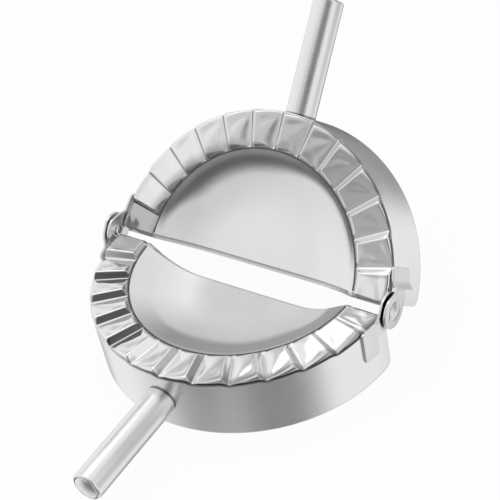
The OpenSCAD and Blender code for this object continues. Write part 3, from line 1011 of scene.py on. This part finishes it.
def studio_world():
    """A pale room with soft dark parts for the metal to show; the camera sees it white."""
    world = bpy.data.worlds.new("room")
    bpy.context.scene.world = world
    world.use_nodes = True
    tree = world.node_tree
    new, link = tree.nodes.new, tree.links.new
    background = tree.nodes["Background"]
    place = new("ShaderNodeTexCoord")
    level = new("ShaderNodeValue")
    level.outputs[0].default_value = ROOM_LIGHT
    level = level.outputs[0]
    for direction, full, end, dark in ROOM_DARKS:
        side = new("ShaderNodeVectorMath")
        side.operation = "DOT_PRODUCT"
        side.inputs[1].default_value = Vector(direction).normalized()
        link(place.outputs["Generated"], side.inputs[0])
        fade = new("ShaderNodeMapRange")
        fade.interpolation_type = "SMOOTHSTEP"
        fade.inputs["From Min"].default_value = cos(radians(end))
        fade.inputs["From Max"].default_value = cos(radians(full))
        fade.inputs["To Min"].default_value = 1
        fade.inputs["To Max"].default_value = 1 - dark
        link(side.outputs["Value"], fade.inputs["Value"])
        product = new("ShaderNodeMath")
        product.operation = "MULTIPLY"
        link(level, product.inputs[0])
        link(fade.outputs[0], product.inputs[1])
        level = product.outputs[0]
    path = new("ShaderNodeLightPath")
    mix = new("ShaderNodeMix")
    link(path.outputs["Is Camera Ray"], mix.inputs["Factor"])
    link(level, mix.inputs["A"])
    mix.inputs["B"].default_value = 1
    link(mix.outputs["Result"], background.inputs["Color"])


def studio_floor():
    size = 3
    corners = [(-size, -size, 0), (size, -size, 0), (size, size, 0), (-size, size, 0)]
    mesh = mesh_of("floor", corners, [(0, 1, 2, 3)])
    floor = bpy.data.objects.new("floor", mesh)
    bpy.context.scene.collection.objects.link(floor)
    material = bpy.data.materials.new("pale_floor")
    material.use_nodes = True
    tree = material.node_tree
    new, link = tree.nodes.new, tree.links.new
    output = tree.nodes["Material Output"]
    tree.nodes.remove(tree.nodes["Principled BSDF"])
    paint = new("ShaderNodeBsdfDiffuse")
    paint.inputs["Color"].default_value = (0.9, 0.9, 0.9, 1)
    glow = new("ShaderNodeEmission")
    glow.inputs["Strength"].default_value = 1
    pale = new("ShaderNodeMixShader")
    pale.inputs[0].default_value = 0.95
    link(paint.outputs[0], pale.inputs[1])
    link(glow.outputs[0], pale.inputs[2])
    clear = new("ShaderNodeBsdfTransparent")
    path = new("ShaderNodeLightPath")
    seen = new("ShaderNodeMixShader")
    link(path.outputs["Is Glossy Ray"], seen.inputs[0])
    link(pale.outputs[0], seen.inputs[1])
    link(clear.outputs[0], seen.inputs[2])
    link(seen.outputs[0], output.inputs["Surface"])
    material.cycles.emission_sampling = "NONE"
    mesh.materials.append(material)


def lamp(name, az, el, away, size, watts):
    light = bpy.data.lights.new(name, "AREA")
    light.shape = "DISK"
    light.size = size
    light.energy = watts
    holder = bpy.data.objects.new(name, light)
    bpy.context.scene.collection.objects.link(holder)
    back = towards(radians(az), radians(el))
    turn = back.to_track_quat("Z", "Y").to_matrix().to_4x4()
    holder.matrix_world = Matrix.Translation(HINGE_AT + back * away) @ turn


# Making

# darkened() paints shade on these steels where a piece's drawn attribute says so.
pressed = darkened(polished(steel("pressed_steel", 0.83, 0.66), 0.14, 1.19), 0.08)
ring_steel = darkened(steel("satin_ring_steel", 0.84, 0.24, grain=(0.15, 0.15, 3)), 0.15)
ear_steel = darkened(steel("blanked_ear_steel", 0.8, 0.36), 0.05)
handle_steel = darkened(steel("drawn_handle_steel", 0.83, 0.27, grain=(3, 0.1, 3)), 0.25)
cap_steel = steel("turned_cap_steel", 0.84, 0.3)
rivet_steel = steel("rivet_steel", 0.72, 0.22)
fastener_steel = steel("fastener_steel", 0.4, 0.34)
# The spacer's near-black tone is painted shade in the gap between the ears.
spacer_steel = steel("spacer_steel_painted_dark_as_shade", 0.06, 0.4)

pleats_tree = repeat_tree()
for half, other in (("front", "left"), ("back", "right")):
    put(half + "_pressed_plate", half, plate_mesh(pleats_tree, pressed, half), pressed,
        "pressed_steel", half + "_plate")
    put(half + "_cutter_ring", half, ring_mesh(pleats_tree, ring_steel, half), ring_steel,
        "ring_steel", half + "_cutter")
    put(half + "_tube", half, tube_mesh(), handle_steel, "handle_steel", half + "_handle_tube")
    put(half + "_cap", half, cap_mesh(), cap_steel, "cap_steel", half + "_end_cap")
    outer = ear_mesh("outer_ear", EAR_OUT_X, *OUTER_BEND, RIVET_R)
    gap_shaded(outer, False)
    put(half + "_outer_ear_sheet", half, outer, ear_steel, "ear_steel", half + "_outer_ear")
    inner = ear_mesh("inner_ear", EAR_IN_X, *INNER_BEND, RIVET_R + BORE_PLAY)
    inner.transform(Matrix.Scale(-1, 4, (1, 0, 0)))
    inner.flip_normals()
    # Painted shade in the ear gap only on the front jaw's inner ear, at the right hinge.
    gap_shaded(inner, half == "front")
    put(half + "_inner_ear_sheet", half, inner, ear_steel, "ear_steel", half + "_inner_ear")
    put(other + "_domed_rivet", half, rivet_mesh(), rivet_steel, "rivet_steel", other + "_rivet")
for name, node in frame["nodes"].items():
    if not node.hide_render:
        node.data.materials.clear()
        node.data.materials.append(spacer_steel if name.endswith("spacer") else fastener_steel)

photo_camera()
studio_world()
studio_floor()
lamp("soft_box", az=-120, el=62, away=1.2, size=0.8, watts=1.2)
bpy.context.scene.view_settings.view_transform = "Standard"
